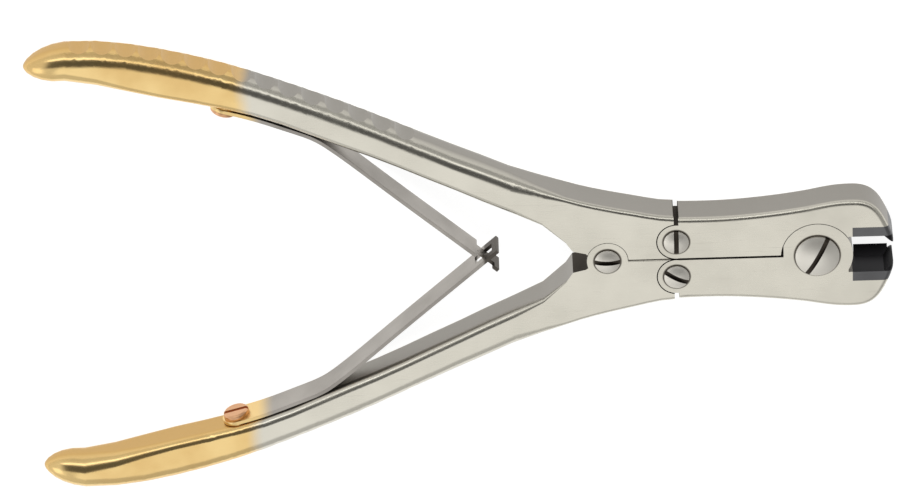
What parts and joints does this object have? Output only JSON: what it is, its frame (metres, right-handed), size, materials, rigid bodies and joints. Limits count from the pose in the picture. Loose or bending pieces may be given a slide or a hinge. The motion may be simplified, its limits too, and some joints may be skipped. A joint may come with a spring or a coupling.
{
  "type": "surgical wire cutter",
  "caption": "Double-action surgical wire cutter with leaf-sprung steel handles, a lapped joint box and hard cutting inserts for end and side cuts.",
  "frame": {"origin": "the jaw pivot's axis at the flat back face on which the tool lies", "axes": "+X along the tool towards the jaws, +Y across it towards the upper handle, +Z through its thickness towards the screw heads"},
  "size_m": [0.2266, 0.1334, 0.0125],
  "materials": {
    "handle_steel": "satin stainless steel, with warm gold plating over the grip ends",
    "jaw_steel": "satin stainless steel",
    "insert_metal": "dark ground hard metal",
    "screw_steel": "turned stainless steel",
    "spring_steel": "rolled spring steel",
    "spring_screw_metal": "warm gold plated"
  },
  "bodies": {
    "lower_handle": {"lower_handle": "handle_steel", "lower_link_screw": "screw_steel", "lower_spring_screw": "spring_screw_metal"},
    "upper_handle": {"upper_handle": "handle_steel", "handle_pivot_screw": "screw_steel", "upper_link_screw": "screw_steel", "upper_spring_screw": "spring_screw_metal"},
    "lower_jaw": {"lower_jaw": "jaw_steel", "lower_cutting_insert": "insert_metal"},
    "upper_jaw": {"upper_jaw": "jaw_steel", "upper_cutting_insert": "insert_metal", "jaw_pivot_screw": "screw_steel"},
    "lower_leaf": {"lower_leaf_spring": "spring_steel"},
    "upper_leaf": {"upper_leaf_spring": "spring_steel"}
  },
  "joints": [
    {"name": "handle_pivot", "type": "hinge", "parent": "lower_handle", "child": "upper_handle", "pos_m": [-0.0553, 0, 0.0053], "axis": [0, 0, 1], "range_deg": [0, 35.6], "stiffness_Nm_per_rad": 2.5, "springref_deg": -8.59},
    {"name": "lower_link_pivot", "type": "hinge", "parent": "lower_handle", "child": "lower_jaw", "pos_m": [-0.0371, -0.00524, 0.0053], "axis": [0, 0, 1], "range_deg": [0, 26.22]},
    {"name": "jaw_pivot", "type": "hinge", "parent": "lower_jaw", "child": "upper_jaw", "pos_m": [0, 0, 0.0053], "axis": [0, 0, 1], "range_deg": [-16.74, 0]},
    {"name": "upper_leaf_bend", "type": "hinge", "parent": "upper_handle", "child": "upper_leaf", "pos_m": [-0.13064, 0.03801, 0.0053], "axis": [0, 0, 1], "range_deg": [0, 10.5], "deforming": ["upper_leaf_spring"]},
    {"name": "lower_leaf_bend", "type": "hinge", "parent": "lower_handle", "child": "lower_leaf", "pos_m": [-0.13064, -0.03801, 0.0053], "axis": [0, 0, 1], "range_deg": [-10.5, 0], "deforming": ["lower_leaf_spring"]}
  ],
  "couplings": [
    {"joint": "lower_link_pivot", "follows": "handle_pivot", "ratio": 0.73365},
    {"joint": "jaw_pivot", "follows": "handle_pivot", "ratio": -0.46729},
    {"joint": "upper_leaf_bend", "follows": "handle_pivot", "ratio": 0.2921},
    {"joint": "lower_leaf_bend", "follows": "handle_pivot", "ratio": -0.2921}
  ]
}
